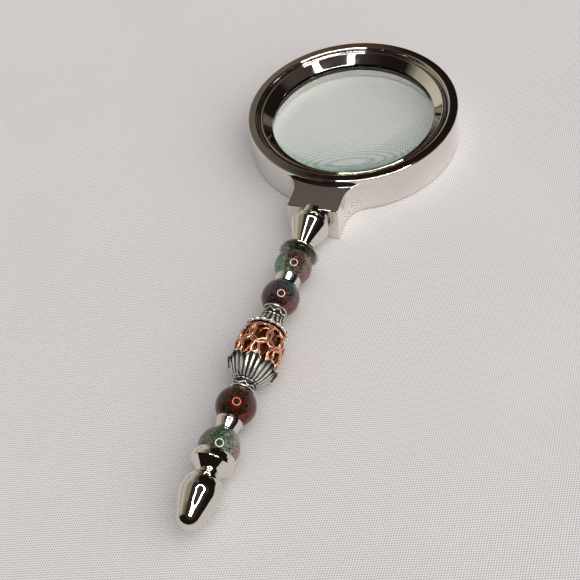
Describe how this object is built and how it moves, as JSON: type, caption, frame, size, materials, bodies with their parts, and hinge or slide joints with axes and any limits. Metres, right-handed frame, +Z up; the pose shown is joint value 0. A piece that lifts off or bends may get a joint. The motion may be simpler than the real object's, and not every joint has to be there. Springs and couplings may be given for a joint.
{
  "type": "hand magnifying glass",
  "caption": "Round hand magnifying glass in a bright metal frame, on a slim rod handle of stone beads, metal spacers and caps, closed by a screwed finial.",
  "frame": {"origin": "on the handle axis, halfway along the overall length from the frame's far edge to the finial's tip", "axes": "+Z up through the lens, towards the side of the retaining ring; the lens is towards +Y and the handle runs along -Y"},
  "size_m": [0.06, 0.1618, 0.012],
  "materials": {
    "bright_plate": "bright mirror plating",
    "lens_glass": "clear polished glass with a pale green edge",
    "washer_rubber": "matt black",
    "rod_steel": "drawn steel",
    "antique_silver": "antiqued silver plate, dark in the hollows",
    "copper_wire": "bright copper-coloured wire",
    "bead_1_stone": "polished green and brown stone, opaque",
    "bead_2_stone": "polished dark teal and oxblood stone, opaque",
    "bead_3_stone": "polished dark oxblood stone, opaque",
    "bead_4_stone": "polished grey-green stone, opaque"
  },
  "bodies": {
    "frame": {"frame_ring": "bright_plate", "lens": "lens_glass", "lens_washer": "washer_rubber", "retaining_ring": "bright_plate", "neck_collar": "bright_plate", "neck_cone": "bright_plate", "neck_cup": "bright_plate", "handle_rod": "rod_steel"},
    "bead_1": {"bead_1": "bead_1_stone"},
    "spacer_1": {"spacer_1": "bright_plate"},
    "bead_2": {"bead_2": "bead_2_stone"},
    "upper_cap": {"upper_bead_cap": "antique_silver"},
    "filigree": {"filigree_bead": "copper_wire"},
    "lower_cap": {"lower_bead_cap": "antique_silver"},
    "bead_3": {"bead_3": "bead_3_stone"},
    "spacer_2": {"spacer_2": "bright_plate"},
    "bead_4": {"bead_4": "bead_4_stone"},
    "finial_cup": {"finial_cup": "bright_plate"},
    "finial_tip": {"finial_tip": "bright_plate"}
  },
  "joints": [
    {"name": "bead_1_spin", "type": "hinge", "parent": "frame", "child": "bead_1", "pos_m": [0, -0.00575, 0], "axis": [0, -1, 0], "continuous": true},
    {"name": "spacer_1_spin", "type": "hinge", "parent": "frame", "child": "spacer_1", "pos_m": [0, -0.01095, 0], "axis": [0, -1, 0], "continuous": true},
    {"name": "bead_2_spin", "type": "hinge", "parent": "frame", "child": "bead_2", "pos_m": [0, -0.01615, 0], "axis": [0, -1, 0], "continuous": true},
    {"name": "upper_cap_spin", "type": "hinge", "parent": "frame", "child": "upper_cap", "pos_m": [0, -0.02305, 0], "axis": [0, -1, 0], "continuous": true},
    {"name": "filigree_spin", "type": "hinge", "parent": "frame", "child": "filigree", "pos_m": [0, -0.03335, 0], "axis": [0, -1, 0], "continuous": true},
    {"name": "lower_cap_spin", "type": "hinge", "parent": "frame", "child": "lower_cap", "pos_m": [0, -0.04105, 0], "axis": [0, -1, 0], "continuous": true},
    {"name": "bead_3_spin", "type": "hinge", "parent": "frame", "child": "bead_3", "pos_m": [0, -0.04905, 0], "axis": [0, -1, 0], "continuous": true},
    {"name": "spacer_2_spin", "type": "hinge", "parent": "frame", "child": "spacer_2", "pos_m": [0, -0.05435, 0], "axis": [0, -1, 0], "continuous": true},
    {"name": "bead_4_spin", "type": "hinge", "parent": "frame", "child": "bead_4", "pos_m": [0, -0.0603, 0], "axis": [0, -1, 0], "continuous": true},
    {"name": "finial_turn", "type": "hinge", "parent": "frame", "child": "finial_cup", "pos_m": [0, -0.06505, 0], "axis": [0, -1, 0], "range_deg": [0, 3600]},
    {"name": "finial_advance", "type": "slide", "parent": "finial_cup", "child": "finial_tip", "axis": [0, -1, 0], "range_m": [0, 0.0046]}
  ],
  "couplings": [
    {"joint": "finial_advance", "follows": "finial_turn", "m_per_rad": 0.00007162}
  ]
}
